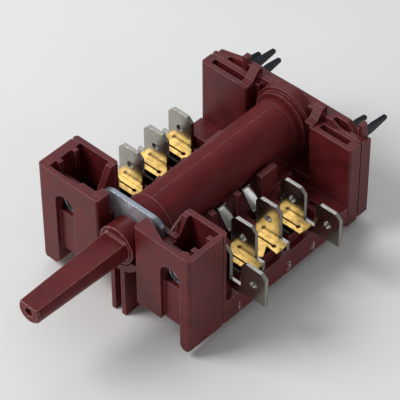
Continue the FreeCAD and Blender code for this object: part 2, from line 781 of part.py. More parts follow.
def build_spindle():
    body = new_body("spindle")
    tip = -S.spindle_reach
    profile = [
        (0, tip),
        (S.tip_radius - S.tip_radius / 8, tip),
        (S.tip_radius, tip + S.tip_radius / 8),
        (S.root_radius, 0),
        (S.collar_radius, 0),
        (S.collar_radius, PLATE_FRONT - S.free_clearance),
        (S.neck_radius, PLATE_FRONT - S.free_clearance),
        (S.neck_radius, DRUM_FRONT),
        (0, DRUM_FRONT),
    ]
    revolve(body, profile)
    over = S.collar_radius
    flat = [
        (tip - S.skin, S.flat_tip), (-S.flat_fillet, S.flat_root),
        (0, S.flat_root + S.flat_fillet), (0, over), (tip - S.skin, over),
    ]
    prism(body, "YZ", -over, over, [flat], cut=True)
    prism(body, "XZ", tip, tip + S.tip_hole_depth, circles=[(0, 0, S.tip_hole / 2)], cut=True)
    return finish(body)


def build_mounting_plate():
    body = new_body("mounting_plate")
    half, crown = S.plate_half, S.plate_crown_half
    outline = [
        (-half, -S.plate_drop), (half, -S.plate_drop), (half, S.plate_wing), (crown, S.plate_wing),
        (crown, S.plate_crown), (-crown, S.plate_crown), (-crown, S.plate_wing),
        (-half, S.plate_wing),
    ]
    prism(body, "XZ", PLATE_FRONT, PLATE_BACK, [outline])

    def crown_corner(edge):
        """Chooses the two upper corners of the crown."""
        box = edge.BoundBox
        level = abs(box.ZMin - S.plate_crown.value) < 1e-4 and box.ZLength < 1e-4
        return level and box.XLength < 1e-4

    round_edges(body, S.plate_crown_round, crown_corner)
    collars = [(SCREW_X * side, 0, S.thread_collar / 2 - S.slot_clearance) for side in (-1, 1)]
    prism(body, "XZ", PLATE_FRONT - S.thread_length, PLATE_FRONT, circles=collars)
    bores = [(SCREW_X * side, 0, S.thread_bore / 2) for side in (-1, 1)]
    prism(body, "XZ", PLATE_FRONT - S.thread_length, PLATE_BACK, circles=bores, cut=True)
    prism(body, "XZ", PLATE_FRONT, PLATE_BACK,
          circles=[(0, 0, S.neck_radius + S.bearing_clearance)], cut=True)
    return finish(body)


def build_terminal(side, index, twin):
    word = "right" if side > 0 else "left"
    body = new_body(f"terminal_{word}_{index + 1}")
    middle = station(index)
    front, back = middle - S.tab_thickness / 2, middle + S.tab_thickness / 2
    cut = S.tab_chamfer
    foot_outer = FOOT_INNER + S.foot_width
    outline = [
        (S.tab_inner, BASE_BOTTOM),
        (S.tab_inner, S.tab_top - cut),
        (S.tab_inner + cut, S.tab_top),
        (TAB_OUTER - cut, S.tab_top),
        (TAB_OUTER, S.tab_top - cut),
        (TAB_OUTER, -S.tab_shoulder),
    ]
    if twin:
        near = TAB_OUTER + S.twin_gap
        far = near + S.tab_width
        top = S.tab_top - S.twin_drop
        outline += [
            (near, -S.tab_shoulder), (near, top - cut), (near + cut, top), (far - cut, top),
            (far, top - cut), (far, -S.twin_lower), (near + cut, -S.twin_lower),
            (near - S.twin_gap / 2, BASE_BOTTOM),
        ]
    else:
        outline += [
            (TAB_OUTER + S.base_overhang, -S.tab_shoulder),
            (TAB_OUTER + S.base_overhang, BASE_BOTTOM),
        ]
    outline += [
        (foot_outer, BASE_BOTTOM), (foot_outer, -S.foot_depth), (FOOT_INNER, -S.foot_depth),
        (FOOT_INNER, BASE_BOTTOM),
    ]
    prism(body, "XZ", front, back, [mirrored(outline, side)])
    centre = (S.tab_inner + S.tab_width / 2) * side
    holes = [(centre, S.tab_top - S.tab_hole_drop, S.tab_hole / 2)]
    if twin:
        outer = (TAB_OUTER + S.twin_gap + S.tab_width / 2) * side
        holes.append((outer, S.tab_top - S.twin_drop - S.tab_hole_drop, S.tab_hole / 2))
    prism(body, "XZ", front, back, circles=holes, cut=True)
    return finish(body)


def build_leaf(side, index, wide):
    """A slit brass leaf on the comb, in front of its terminal."""
    word = "right" if side > 0 else "left"
    body = new_body(f"brass_leaf_{word}_{index + 1}")
    back = station(index) - S.tab_thickness / 2
    width = S.wide_leaf_width if wide else S.leaf_width
    front = back - width
    bottom = -S.comb_top
    top = bottom + S.leaf_thickness
    if wide:
        outline = [
            (S.leaf_inner, back), (S.leaf_outer, back), (S.leaf_outer, back - S.leaf_width),
            (S.leaf_outer - S.leaf_notch, back - S.leaf_width + S.leaf_slit),
            (S.leaf_outer - S.leaf_notch / 2, front + S.leaf_eye),
            (S.leaf_outer - 0.8 * S.leaf_notch, front), (S.leaf_inner, front),
        ]
    else:
        outline = [
            (S.leaf_inner, back), (S.leaf_outer, back), (S.leaf_outer - S.leaf_slit, front),
            (S.leaf_inner, front),
        ]
    prism(body, "XY", bottom, top, [mirrored(outline, side)])
    slit_y = back - S.leaf_width / 2
    inner, outer = S.leaf_inner + 2 * S.leaf_eye, S.leaf_outer - 2 * S.leaf_eye
    slit = rectangle(inner, outer, slit_y - S.leaf_slit / 2, slit_y + S.leaf_slit / 2)
    prism(body, "XY", bottom, top, [mirrored(slit, side)], cut=True)
    eyes = [(x * side, slit_y, S.leaf_eye / 2) for x in (inner, outer)]
    prism(body, "XY", bottom, top, circles=eyes, cut=True)
    return finish(body)


def spring_profile():
    """The contact spring seen along Y: a flat leaf, an upper part that leans towards the
    drum and a nose that is curled over it."""
    half = S.spring_thickness.value / 2
    level = -S.spring_level.value + half
    bend, nose = S.spring_bend.value, S.nose_radius.value
    lean = math.radians(S.spring_lean.value)
    along = Vector(-math.sin(lean), 0, math.cos(lean))
    across = Vector(math.cos(lean), 0, math.sin(lean))

    # the leaning part starts at the heel, and its nose just clears a lobe of the drum
    heel = Vector(S.spring_heel.value, 0, level)
    bend_turn = math.pi / 2 - lean
    bend_middle = heel + Vector(bend * math.tan(bend_turn / 2), 0, bend)
    start = heel - across * nose
    orbit = S.drum_radius.value + S.lobe_height.value + S.nose_clearance.value + nose + half
    inwards = -start.dot(along)
    run = inwards - math.sqrt(inwards ** 2 - start.Length ** 2 + orbit ** 2)
    nose_middle = start + along * run
    tail = Vector(0, 0, -S.nose_tail.value)
    outer = S.spring_outer.value

    def spoke(middle, radius, angle):
        """The point at `radius` from `middle`, the angle counted in radians from +X to +Z."""
        return middle + Vector(radius * math.cos(angle), 0, radius * math.sin(angle))

    def arc(middle, radius, begin, end):
        points = [spoke(middle, radius, angle) for angle in (begin, (begin + end) / 2, end)]
        return Part.Arc(*points).toShape()

    def line(begin, end):
        return Part.LineSegment(begin, end).toShape()

    down, back = 1.5 * math.pi, math.pi + lean
    drum_side = spoke(nose_middle, nose - half, math.pi)
    free_side = spoke(nose_middle, nose + half, math.pi)
    tip_low, tip_high = Vector(outer, 0, level - half), Vector(outer, 0, level + half)
    edges = [
        line(tip_low, spoke(bend_middle, bend + half, down)),
        arc(bend_middle, bend + half, down, back),
        line(spoke(bend_middle, bend + half, back), spoke(nose_middle, nose - half, lean)),
        arc(nose_middle, nose - half, lean, math.pi),
        line(drum_side, drum_side + tail),
        line(drum_side + tail, free_side + tail),
        line(free_side + tail, free_side),
        arc(nose_middle, nose + half, math.pi, lean),
        line(spoke(nose_middle, nose + half, lean), spoke(bend_middle, bend - half, back)),
        arc(bend_middle, bend - half, back, down),
        line(spoke(bend_middle, bend - half, down), tip_high),
        line(tip_high, tip_low),
    ]
    return Part.Face(Part.Wire(edges))


def build_spring(side, index):
    word = "right" if side > 0 else "left"
    spring = DOC.addObject("Part::Feature", f"contact_spring_{word}_{index + 1}")
    spring.Label = spring.Name
    face = spring_profile()
    if side < 0:
        face = face.mirror(Vector(0, 0, 0), Vector(1, 0, 0))
    spring.Shape = face.extrude(Vector(0, S.spring_width.value, 0))
    place(spring, 0, station(index) - S.spring_set_back - S.spring_width, 0)
    return finish(spring)


def build_rear_blade(name, side, reach_name):
    body = new_body(f"rear_{name}")
    offset, length = getattr(S, name) * side, getattr(S, reach_name)
    root, tip = S.blade_root / 2, S.blade_tip / 2
    start = COVER_END
    outline = [
        (start, S.blade_level - root), (start + length / 2, S.blade_level - root),
        (start + length, S.blade_level - tip), (start + length, S.blade_level + tip),
        (start + length / 2, S.blade_level + root), (start, S.blade_level + root),
    ]
    half = S.blade_thickness / 2
    prism(body, "YZ", offset - half, offset + half, [outline])
    return finish(body)


def check():
    """Stops when any object failed or any piece has no valid solid."""
    for item in DOC.Objects:
        if {"Invalid", "Error"} & set(item.State):
            raise ValueError(f"{item.Name} failed: {item.State}")
    for piece in PIECES:
        shape = piece.Shape
        if shape.isNull() or not shape.isValid() or not shape.Solids:
            raise ValueError(f"{piece.Label} has no valid solid")


def export():
    os.makedirs("parts", exist_ok=True)
    for piece in PIECES:
        piece.Shape.exportStep(f"parts/{piece.Label}.step")
        box = piece.Shape.BoundBox
        print(f"{piece.Label}: {len(piece.Shape.Solids)} solid, {piece.Shape.Volume:.1f} mm3, "
              f"X {box.XMin:.2f}..{box.XMax:.2f} Y {box.YMin:.2f}..{box.YMax:.2f} "
              f"Z {box.ZMin:.2f}..{box.ZMax:.2f}")


build_front_housing()
build_base_tray()
build_rear_housing()
build_rear_cover()
build_cam_drum()
build_spindle()
build_mounting_plate()
for terminal_index in range(4):
    build_terminal(1, terminal_index, twin=terminal_index in (0, 3))
    build_terminal(-1, terminal_index, twin=False)
for contact_index in range(1, 4):
    for contact_side in (-1, 1):
        build_leaf(contact_side, contact_index, wide=contact_index == 2)
        build_spring(contact_side, contact_index)
for blade in REAR_BLADES:
    build_rear_blade(*blade)
DOC.recompute()
check()
export()
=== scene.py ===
"""Looks of a rotary selector switch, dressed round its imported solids.

Lengths inside the classes are millimetres in the frame of the solids: +X to the right
seen from the spindle side, the spindle along -Y, +Z up, the origin on the spindle axis
in the front face. Meshes are scaled to metres when they are made.
"""

import logging
import math
from dataclasses import dataclass, field
from enum import Enum
from typing import Sequence

import bmesh
import bpy
import numpy as np
from mathutils import Matrix, Vector


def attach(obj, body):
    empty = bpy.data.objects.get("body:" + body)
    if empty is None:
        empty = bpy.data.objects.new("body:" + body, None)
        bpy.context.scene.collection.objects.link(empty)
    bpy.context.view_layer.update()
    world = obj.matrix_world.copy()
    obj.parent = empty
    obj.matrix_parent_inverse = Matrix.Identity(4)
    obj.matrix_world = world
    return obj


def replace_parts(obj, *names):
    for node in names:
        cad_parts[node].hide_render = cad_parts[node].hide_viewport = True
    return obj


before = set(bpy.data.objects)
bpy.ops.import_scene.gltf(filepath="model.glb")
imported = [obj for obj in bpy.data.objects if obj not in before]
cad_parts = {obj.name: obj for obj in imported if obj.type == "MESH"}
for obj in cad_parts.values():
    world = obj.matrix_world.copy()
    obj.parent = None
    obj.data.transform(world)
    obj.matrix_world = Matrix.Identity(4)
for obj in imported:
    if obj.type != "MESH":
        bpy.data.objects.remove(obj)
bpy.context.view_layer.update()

MM = 0.001
LOG = logging.getLogger("selector_switch")
PITCH = 7.2  # from one terminal station to the next
STATIONS = range(1, 5)
SPRING_STATIONS = range(2, 5)
DOUBLE_STATIONS = (1, 4)  # the right terminal has a second blade there
BEVEL_SAMPLES = 6
NOISE_RANGE = (0.3, 0.7)  # where nearly all values of a noise pattern lie
# the mixing node's sockets for colours: their share, the two colours and the result
SHARE, FIRST, SECOND, MIXED = 0, 6, 7, 2
BEAD_POINTS = 8  # round the section of a bead
MERGE_METRES = 1e-7


class Slot(Enum):
    """The record's material slots."""

    MOULDING = "moulding"
    DRUM = "drum_moulding"
    PLATE = "zinc_plate"
    TAB = "tab_plating"
    LEAF = "leaf_brass"
    SPRING = "spring_plating"
    BLADE = "blade_steel"


class Side(Enum):
    """The two sides of the switch and their sign along X."""

    RIGHT = 1
    LEFT = -1

    @property
    def word(self) -> str:
        """The side's name in lower case."""
        return self.name.lower()


def linear(code: str) -> tuple[float, float, float, float]:
    """Turns an sRGB hex colour into linear values.

    Args:
        code: Six hex digits, such as "5a2626".

    Returns:
        Linear red, green and blue, and alpha 1.
    """
    parts = np.array([int(code[i:i + 2], 16) for i in (0, 2, 4)]) / 255
    bent = np.where(parts <= 0.04045, parts / 12.92, ((parts + 0.055) / 1.055) ** 2.4)
    return (*bent.tolist(), 1.0)


def add_node(tree: bpy.types.NodeTree, kind: str, inputs: dict | None = None,
             **settings: object) -> bpy.types.Node:
    """Adds one node.

    Args:
        tree: The node tree.
        kind: The node's type.
        inputs: Input name or number to a value or to another node's output.
        **settings: Properties of the node.

    Returns:
        The new node.
    """
    node = tree.nodes.new(kind)
    for name, value in settings.items():
        setattr(node, name, value)
    for name, value in (inputs or {}).items():
        if isinstance(value, bpy.types.NodeSocket):
            tree.links.new(value, node.inputs[name])
        else:
            node.inputs[name].default_value = value
    return node


def per_metre(size_mm: float) -> float:
    """Gives the scale of a noise texture.

    Args:
        size_mm: How wide its features are.

    Returns:
        Features in a metre.
    """
    return 1 / (size_mm * MM)


def blank_material(name: str) -> tuple[bpy.types.Material, bpy.types.NodeTree]:
    """Makes a material with an empty node tree.

    Args:
        name: The material's name.

    Returns:
        The material and its tree.
    """
    material = bpy.data.materials.new(name)
    material.use_nodes = True
    material.node_tree.nodes.clear()
    return material, material.node_tree


@dataclass(frozen=True)
class Moulded:
    """Compression-moulded phenolic: dark, half glossy, mottled by its filler, with a few
    light specks, a soft orange-peel skin and broken bright lines painted along its edges as
    a highlight."""

    name: str
    base: str
    deep: str
    # the specks' colour, also painted along every edge as a highlight
    edge: str
    patch_mm: float = 3.5
    grain_mm: float = 0.28  # the filler's real grains are finer: this coarse, they show
    peel_mm: float = 0.55
    peel_depth_mm: float = 0.008
    rough: tuple[float, float] = (0.34, 0.46)
    shine: float = 0.27
    edge_radius_mm: float = 0.15
    edge_share: float = 0.8
    faintest_edge: float = 0.35  # where a painted highlight breaks, as a share of the above
    speck_share: float = 0.16
    draw: tuple[float, float, float] = (1.0, 1.0, 1.0)
    # the value of its noise at which each pattern begins, and at which it is full
    patches_from: tuple[float, float] = (0.36, 0.64)
    specks_from: tuple[float, float] = (0.6, 0.78)
    lines_from: tuple[float, float] = (0.35, 0.6)
    # how far the rounded normal turns from the flat one, as their product
    rim_turn: tuple[float, float] = (0.99, 0.88)

    def build(self) -> bpy.types.Material:
        """Makes the material.

        Returns:
            The finished material.
        """
        material, tree = blank_material(self.name)
        place = add_node(tree, "ShaderNodeTexCoord").outputs["Object"]
        drawn = add_node(tree, "ShaderNodeMapping",
                         {"Vector": place, "Scale": self.draw}).outputs["Vector"]
        patches = add_node(tree, "ShaderNodeTexNoise", {
            "Vector": drawn, "Scale": per_metre(self.patch_mm), "Detail": 3.0,
            "Roughness": 0.55}).outputs["Fac"]
        grains = add_node(tree, "ShaderNodeTexNoise", {
            "Vector": place, "Scale": per_metre(self.grain_mm), "Detail": 2.0,
            "Roughness": 0.6}).outputs["Fac"]
        peel = add_node(tree, "ShaderNodeTexNoise", {
            "Vector": drawn, "Scale": per_metre(self.peel_mm), "Detail": 2.0,
            "Roughness": 0.5}).outputs["Fac"]
        patch = add_node(tree, "ShaderNodeMapRange", {
            "Value": patches, "From Min": self.patches_from[0],
            "From Max": self.patches_from[1]}).outputs["Result"]
        mottled = add_node(tree, "ShaderNodeMix", {
            SHARE: patch, FIRST: linear(self.deep), SECOND: linear(self.base)},
            data_type="RGBA").outputs[MIXED]
        speck = add_node(tree, "ShaderNodeMapRange", {
            "Value": grains, "From Min": self.specks_from[0],
            "From Max": self.specks_from[1], "To Max": self.speck_share,
        }).outputs["Result"]
        speckled = add_node(tree, "ShaderNodeMix", {
            SHARE: speck, FIRST: mottled, SECOND: linear(self.edge)},
            data_type="RGBA").outputs[MIXED]
        # the rounded normal leaves the flat one only near an edge
        rounded = add_node(tree, "ShaderNodeBevel", {
            "Radius": self.edge_radius_mm * MM}, samples=BEVEL_SAMPLES).outputs["Normal"]
        flat = add_node(tree, "ShaderNodeNewGeometry").outputs["Normal"]
        along = add_node(tree, "ShaderNodeVectorMath", {0: rounded, 1: flat},
                         operation="DOT_PRODUCT").outputs["Value"]
        # the edge colour is painted along every edge as a highlight, broken by the skin's noise
        broken_highlight = add_node(tree, "ShaderNodeMapRange", {
            "Value": peel, "From Min": self.lines_from[0], "From Max": self.lines_from[1],
            "To Min": self.faintest_edge * self.edge_share, "To Max": self.edge_share,
        }).outputs["Result"]
        rim = add_node(tree, "ShaderNodeMapRange", {
            "Value": along, "From Min": self.rim_turn[0], "From Max": self.rim_turn[1],
            "To Max": broken_highlight}).outputs["Result"]
        highlighted = add_node(tree, "ShaderNodeMix", {
            SHARE: rim, FIRST: speckled, SECOND: linear(self.edge)},
            data_type="RGBA").outputs[MIXED]
        gloss = add_node(tree, "ShaderNodeMapRange", {
            "Value": patches, "From Min": NOISE_RANGE[0], "From Max": NOISE_RANGE[1],
            "To Min": self.rough[0], "To Max": self.rough[1]}).outputs["Result"]
        skin = add_node(tree, "ShaderNodeBump", {
            "Height": peel, "Strength": 1.0, "Distance": self.peel_depth_mm * MM,
            "Normal": rounded}).outputs["Normal"]
        shader = add_node(tree, "ShaderNodeBsdfPrincipled", {
            "Base Color": highlighted, "Roughness": gloss, "Normal": skin,
            "Specular IOR Level": self.shine}).outputs["BSDF"]
        add_node(tree, "ShaderNodeOutputMaterial", {"Surface": shader})
        return material


@dataclass(frozen=True)
class Strip:
    """Rolled metal strip: fine lines along the rolling direction, faint cloudy tarnish and
    rounded edges that catch the light. A dull plating is only partly metal. A strip that
    stands across the switch can have duller sheared edges, darkened further as painted
    shade, and a spring a foot painted dark as shade."""

    name: str
    base: str
    tarnish: str
    rough: tuple[float, float]
    line_mm: float = 0.12  # real rolling lines are finer: this coarse, they show
    line_depth_mm: float = 0.0008
    cloud_mm: float = 2.5
    tarnish_share: float = 0.35
    edge_radius_mm: float = 0.09
    rolled: tuple[float, float, float] = (1.0, 1.0, 0.06)
    metal: float = 1.0
    # cut edges that are duller, and darker as painted shade
    sheared: str | None = None
    # a foot painted nearly black as shade
    foot: str | None = None
    foot_from_mm: float = 9.6
    foot_fade_mm: float = 0.8
    # the value of the noise at which the tarnish begins, and at which it is full
    clouds_from: tuple[float, float] = (0.45, 0.72)
    # how squarely a face looks along Y where the sheared edge begins and is full
    sheared_from: tuple[float, float] = (0.8, 0.6)

    def build(self) -> bpy.types.Material:
        """Makes the material.

        Returns:
            The finished material.
        """
        material, tree = blank_material(self.name)
        place = add_node(tree, "ShaderNodeTexCoord").outputs["Object"]
        along = add_node(tree, "ShaderNodeMapping",
                         {"Vector": place, "Scale": self.rolled}).outputs["Vector"]
        lines = add_node(tree, "ShaderNodeTexNoise", {
            "Vector": along, "Scale": per_metre(self.line_mm),
            "Detail": 2.0}).outputs["Fac"]
        clouds = add_node(tree, "ShaderNodeTexNoise", {
            "Vector": place, "Scale": per_metre(self.cloud_mm), "Detail": 4.0,
            "Roughness": 0.6}).outputs["Fac"]
        tarnished = add_node(tree, "ShaderNodeMapRange", {
            "Value": clouds, "From Min": self.clouds_from[0],
            "From Max": self.clouds_from[1], "To Max": self.tarnish_share,
        }).outputs["Result"]
        colour = add_node(tree, "ShaderNodeMix", {
            SHARE: tarnished, FIRST: linear(self.base), SECOND: linear(self.tarnish)},
            data_type="RGBA").outputs[MIXED]
        if self.sheared is not None:
            # the flat faces look along Y, so every other direction is a sheared edge, dulled and
            # darkened as painted shade
            facing = add_node(tree, "ShaderNodeSeparateXYZ", {
                "Vector": add_node(tree, "ShaderNodeNewGeometry").outputs["True Normal"]})
            flatness = add_node(tree, "ShaderNodeMath", {0: facing.outputs["Y"]},
                                operation="ABSOLUTE").outputs["Value"]
            edge = add_node(tree, "ShaderNodeMapRange", {
                "Value": flatness, "From Min": self.sheared_from[0],
                "From Max": self.sheared_from[1]}).outputs["Result"]
            colour = add_node(tree, "ShaderNodeMix", {
                SHARE: edge, FIRST: colour, SECOND: linear(self.sheared)},
                data_type="RGBA").outputs[MIXED]
        if self.foot is not None:
            # the foot's painted shade begins at a distance from the middle plane, on both sides
            across = add_node(tree, "ShaderNodeSeparateXYZ", {"Vector": place})
            reach = add_node(tree, "ShaderNodeMath", {0: across.outputs["X"]},
                             operation="ABSOLUTE").outputs["Value"]
            painted_foot_shade = add_node(tree, "ShaderNodeMapRange", {
                "Value": reach, "From Min": self.foot_from_mm * MM,
                "From Max": (self.foot_from_mm + self.foot_fade_mm) * MM,
            }).outputs["Result"]
            colour = add_node(tree, "ShaderNodeMix", {
                SHARE: painted_foot_shade, FIRST: colour, SECOND: linear(self.foot)},
                data_type="RGBA").outputs[MIXED]
        gloss = add_node(tree, "ShaderNodeMapRange", {
            "Value": clouds, "From Min": NOISE_RANGE[0], "From Max": NOISE_RANGE[1],
            "To Min": self.rough[0], "To Max": self.rough[1]}).outputs["Result"]
        rounded = add_node(tree, "ShaderNodeBevel", {
            "Radius": self.edge_radius_mm * MM}, samples=BEVEL_SAMPLES).outputs["Normal"]
        skin = add_node(tree, "ShaderNodeBump", {
            "Height": lines, "Strength": 1.0, "Distance": self.line_depth_mm * MM,
            "Normal": rounded}).outputs["Normal"]
        shader = add_node(tree, "ShaderNodeBsdfPrincipled", {
            "Base Color": colour, "Metallic": self.metal, "Roughness": gloss,
            "Normal": skin}).outputs["BSDF"]
        add_node(tree, "ShaderNodeOutputMaterial", {"Surface": shader})
        return material


@dataclass(frozen=True)
class Matt:
    """A matt pigment, such as pad-printed ink or studio paper, slightly uneven."""

    name: str
    base: str
    worn: str
    cloud_mm: float
    roughness: float = 0.8
    depth_mm: float = 0.01
    # the value of the noise at which the worn colour begins, and at which it is full
    clouds_from: tuple[float, float] = (0.4, 0.65)

    def build(self) -> bpy.types.Material:
        """Makes the material.

        Returns:
            The finished material.
        """
        material, tree = blank_material(self.name)
        place = add_node(tree, "ShaderNodeTexCoord").outputs["Object"]
        clouds = add_node(tree, "ShaderNodeTexNoise", {
            "Vector": place, "Scale": per_metre(self.cloud_mm),
            "Detail": 3.0}).outputs["Fac"]
        worn = add_node(tree, "ShaderNodeMapRange", {
            "Value": clouds, "From Min": self.clouds_from[0],
            "From Max": self.clouds_from[1]}).outputs["Result"]
        colour = add_node(tree, "ShaderNodeMix", {
            SHARE: worn, FIRST: linear(self.base), SECOND: linear(self.worn)},
            data_type="RGBA").outputs[MIXED]
        skin = add_node(tree, "ShaderNodeBump", {
            "Height": clouds, "Distance": self.depth_mm * MM}).outputs["Normal"]
        shader = add_node(tree, "ShaderNodeBsdfPrincipled", {
            "Base Color": colour, "Roughness": self.roughness,
            "Normal": skin}).outputs["BSDF"]
        add_node(tree, "ShaderNodeOutputMaterial", {"Surface": shader})
        return material


FINISHES = {
    # a warm red-brown body with pale edges painted as a highlight
    Slot.MOULDING: Moulded("phenolic_compression_moulded", "6a2224", "581a1c", "cf9995"),
    # smoother and duller than the body, its mottling drawn out along the axis
    Slot.DRUM: Moulded("phenolic_drum_moulded", "6a2223", "5c1c1e", "a87470",
                       rough=(0.46, 0.56), shine=0.14, draw=(1.0, 0.3, 1.0)),
    # cold and even, with cut edges dulled and darkened as painted shade, so that only their
    # rounding glints
    Slot.PLATE: Strip("steel_strip_zinc_plated", "d6dce5", "c0c7d0", (0.24, 0.32),
                      line_depth_mm=0.0001, cloud_mm=5.0, edge_radius_mm=0.22,
                      rolled=(0.06, 1.0, 1.0), metal=0.7, sheared="848b95"),
    # a grey mirror for the brass and the moulding round it, its cut edges darkened as painted
    # shade
    Slot.TAB: Strip("brass_nickel_plated_stamped", "adaaa1", "8a7f6a", (0.16, 0.26),
                    edge_radius_mm=0.2, sheared="8f8c86"),
    # the only warm metal, clouded and finely lined
    Slot.LEAF: Strip("brass_cold_rolled", "ab9058", "5c4a26", (0.24, 0.38),
                     cloud_mm=1.8, tarnish_share=0.6, rolled=(0.06, 1.0, 1.0)),
    # bright at the nose, with its foot painted dark as shade
    Slot.SPRING: Strip("bronze_strip_silvered", "c6c5c3", "8f8a84", (0.18, 0.3),
                       line_depth_mm=0.00005, cloud_mm=1.6, foot="171413"),
    # painted nearly black as shade, so the blades read as outlines
    Slot.BLADE: Strip("steel_strip_shade_painted", "24282e", "121417", (0.3, 0.5),
                      rolled=(1.0, 0.06, 1.0)),
}
# hardly a speck, and the palest edges: its strongest painted highlight
SPINDLE = Moulded("phenolic_spindle_moulded", "6a2223", "5a1b1d", "e0b0ac",
                  rough=(0.34, 0.42), shine=0.16, edge_radius_mm=0.22, edge_share=1.0,
                  speck_share=0.06)
# glossy, so that every turn of the thread glints
THREAD = Strip("steel_thread_zinc_plated", "dde3ea", "aab2bc", (0.14, 0.22),
               rolled=(1.0, 1.0, 1.0), line_depth_mm=0.0002)
# paler than the drum, as rubbed phenolic is
FLASH = Moulded("phenolic_flash_rubbed", "a2625f", "6c2c2b", "d8a8a4")
# thin print that lets the moulding through, and the studio's paper
INK = Matt("ink_pad_printed", "c2b8ba", "7c5c5e", 0.35)
PAPER = Matt("paper_matt_white", "f4f4f2", "f1f1ef", 40.0, depth_mm=0.0)


@dataclass
class Shell:
    """A surface worked out on a grid: its points (n, 3) and its faces (k, 4)."""

    points: np.ndarray
    faces: np.ndarray


def circle(count: int) -> np.ndarray:
    """Angles of equal steps round a circle.

    Args:
        count: Number of steps.

    Returns:
        The angles in radians, from 0.
    """
    return np.linspace(0, 2 * math.pi, count, endpoint=False)


def grid_faces(rows: int, columns: int) -> np.ndarray:
    """Four-sided faces between neighbouring rows of points. In each row the last point
    joins the first.

    Args:
        rows: Number of rows.
        columns: Number of points in each row.

    Returns:
        Point numbers of shape (faces, 4).
    """
    row = np.arange(rows - 1)[:, None] * columns
    column = np.arange(columns)[None, :]
    following = (column + 1) % columns
    corners = [row + column, row + following,
               row + columns + following, row + columns + column]
    return np.stack(corners, axis=-1).reshape(-1, 4)


def tube(rings: np.ndarray) -> Shell:
    """A closed tube through rings of points, with a flat cap at each end.

    Args:
        rings: Points of shape (rings, points in a ring, 3).

    Returns:
        The shell. Each cap is a fan to the middle of its ring: a row in which every
        point is that middle, merged when the mesh is made.
    """
    columns = rings.shape[1]
    first = np.repeat(rings[:1].mean(axis=1, keepdims=True), columns, axis=1)
    last = np.repeat(rings[-1:].mean(axis=1, keepdims=True), columns, axis=1)
    points = np.concatenate([first, rings, last])
    return Shell(points.reshape(-1, 3), grid_faces(len(points), columns))


def bead_ring(middle: Sequence[float], radius: float, half_width: float,
              half_height: float, steps: int, upright: bool = False) -> Shell:
    """A round bead along a circle: at angle a round the circle and b round the bead, the
    point is R + w cos b from the circle's axis and h sin b along it.

    Args:
        middle: The circle's middle.
        radius: The circle's radius R.
        half_width: The bead's half width w.
        half_height: The bead's half height h.
        steps: Number of points along the circle.
        upright: True where the axis is along Z, false where it is along Y.

    Returns:
        The bead's shell.
    """
    around = circle(steps)[:, None]
    section = circle(BEAD_POINTS)[None, :]
    reach = radius + half_width * np.cos(section)
    out = np.broadcast_to(half_height * np.sin(section), (steps, BEAD_POINTS))
    across, beside = reach * np.cos(around), reach * np.sin(around)
    parts = (across, beside, out) if upright else (across, out, beside)
    sections = np.stack(parts, axis=-1) + np.array(middle)
    closed = np.concatenate([sections, sections[:1]])
    return Shell(closed.reshape(-1, 3), grid_faces(len(closed), BEAD_POINTS))


def add_piece(name: str, mesh: bpy.types.Mesh, material: bpy.types.Material, body: str) -> bpy.types.Object:
    """Adds a mesh to the scene as one piece.

    Args:
        name: The piece's name.
        mesh: Its mesh, in metres and in its place.
        material: Its material.
        body: The body that it rides on.

    Returns:
        The object.
    """
    mesh.materials.clear()
    mesh.materials.append(material)
    piece = bpy.data.objects.new(name, mesh)
    bpy.context.scene.collection.objects.link(piece)
    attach(piece, body)
    LOG.info("%s: %d faces on %s", name, len(mesh.polygons), body)
    return piece


def make_piece(name: str, shells: Sequence[Shell], material: bpy.types.Material,
               body: str, crease: float = 32.0,
               ) -> bpy.types.Object:
    """Makes one piece out of closed surfaces.

    Args:
        name: The piece's name.
        shells: Its closed surfaces, in millimetres.
        material: Its material.
        body: The body that it rides on.
        crease: Edges sharper than this, in degrees, stay sharp.

    Returns:
        The object.
    """
    starts = np.cumsum([0] + [len(shell.points) for shell in shells])
    points = np.concatenate([shell.points for shell in shells]) * MM
    faces = np.concatenate([shell.faces + start for shell, start in zip(shells, starts)])
    mesh = bpy.data.meshes.new(name)
    mesh.from_pydata(points.tolist(), [], faces.tolist())
    cleaned = bmesh.new()
    cleaned.from_mesh(mesh)
    bmesh.ops.remove_doubles(cleaned, verts=cleaned.verts, dist=MERGE_METRES)
    bmesh.ops.recalc_face_normals(cleaned, faces=cleaned.faces)
    cleaned.to_mesh(mesh)
    cleaned.free()
    mesh.shade_smooth()
    mesh.set_sharp_from_angle(angle=math.radians(crease))
    return add_piece(name, mesh, material, body)


def curve_mesh(curve: bpy.types.Curve, place: Matrix) -> bpy.types.Mesh:
    """Turns a filled curve or a text into a mesh.

    Args:
        curve: The curve, with its thickness.
        place: Where it goes, in metres.

    Returns:
        The mesh in its place.
    """
    template = bpy.data.objects.new(curve.name, curve)
    bpy.context.scene.collection.objects.link(template)
    bpy.context.view_layer.update()
    mesh = bpy.data.meshes.new_from_object(
        template.evaluated_get(bpy.context.evaluated_depsgraph_get()))
    bpy.data.objects.remove(template)
    mesh.transform(place)
    return mesh


def smooth_step(value: np.ndarray, start: float, end: float) -> np.ndarray:
    """Rises along 3t^2 - 2t^3.

    Args:
        value: Where it is asked for.
        start: It is 0 up to here.
        end: It is 1 from here on.

    Returns:
        The share at each value.
    """
    share = np.clip((value - start) / (end - start), 0, 1)
    return share * share * (3 - 2 * share)


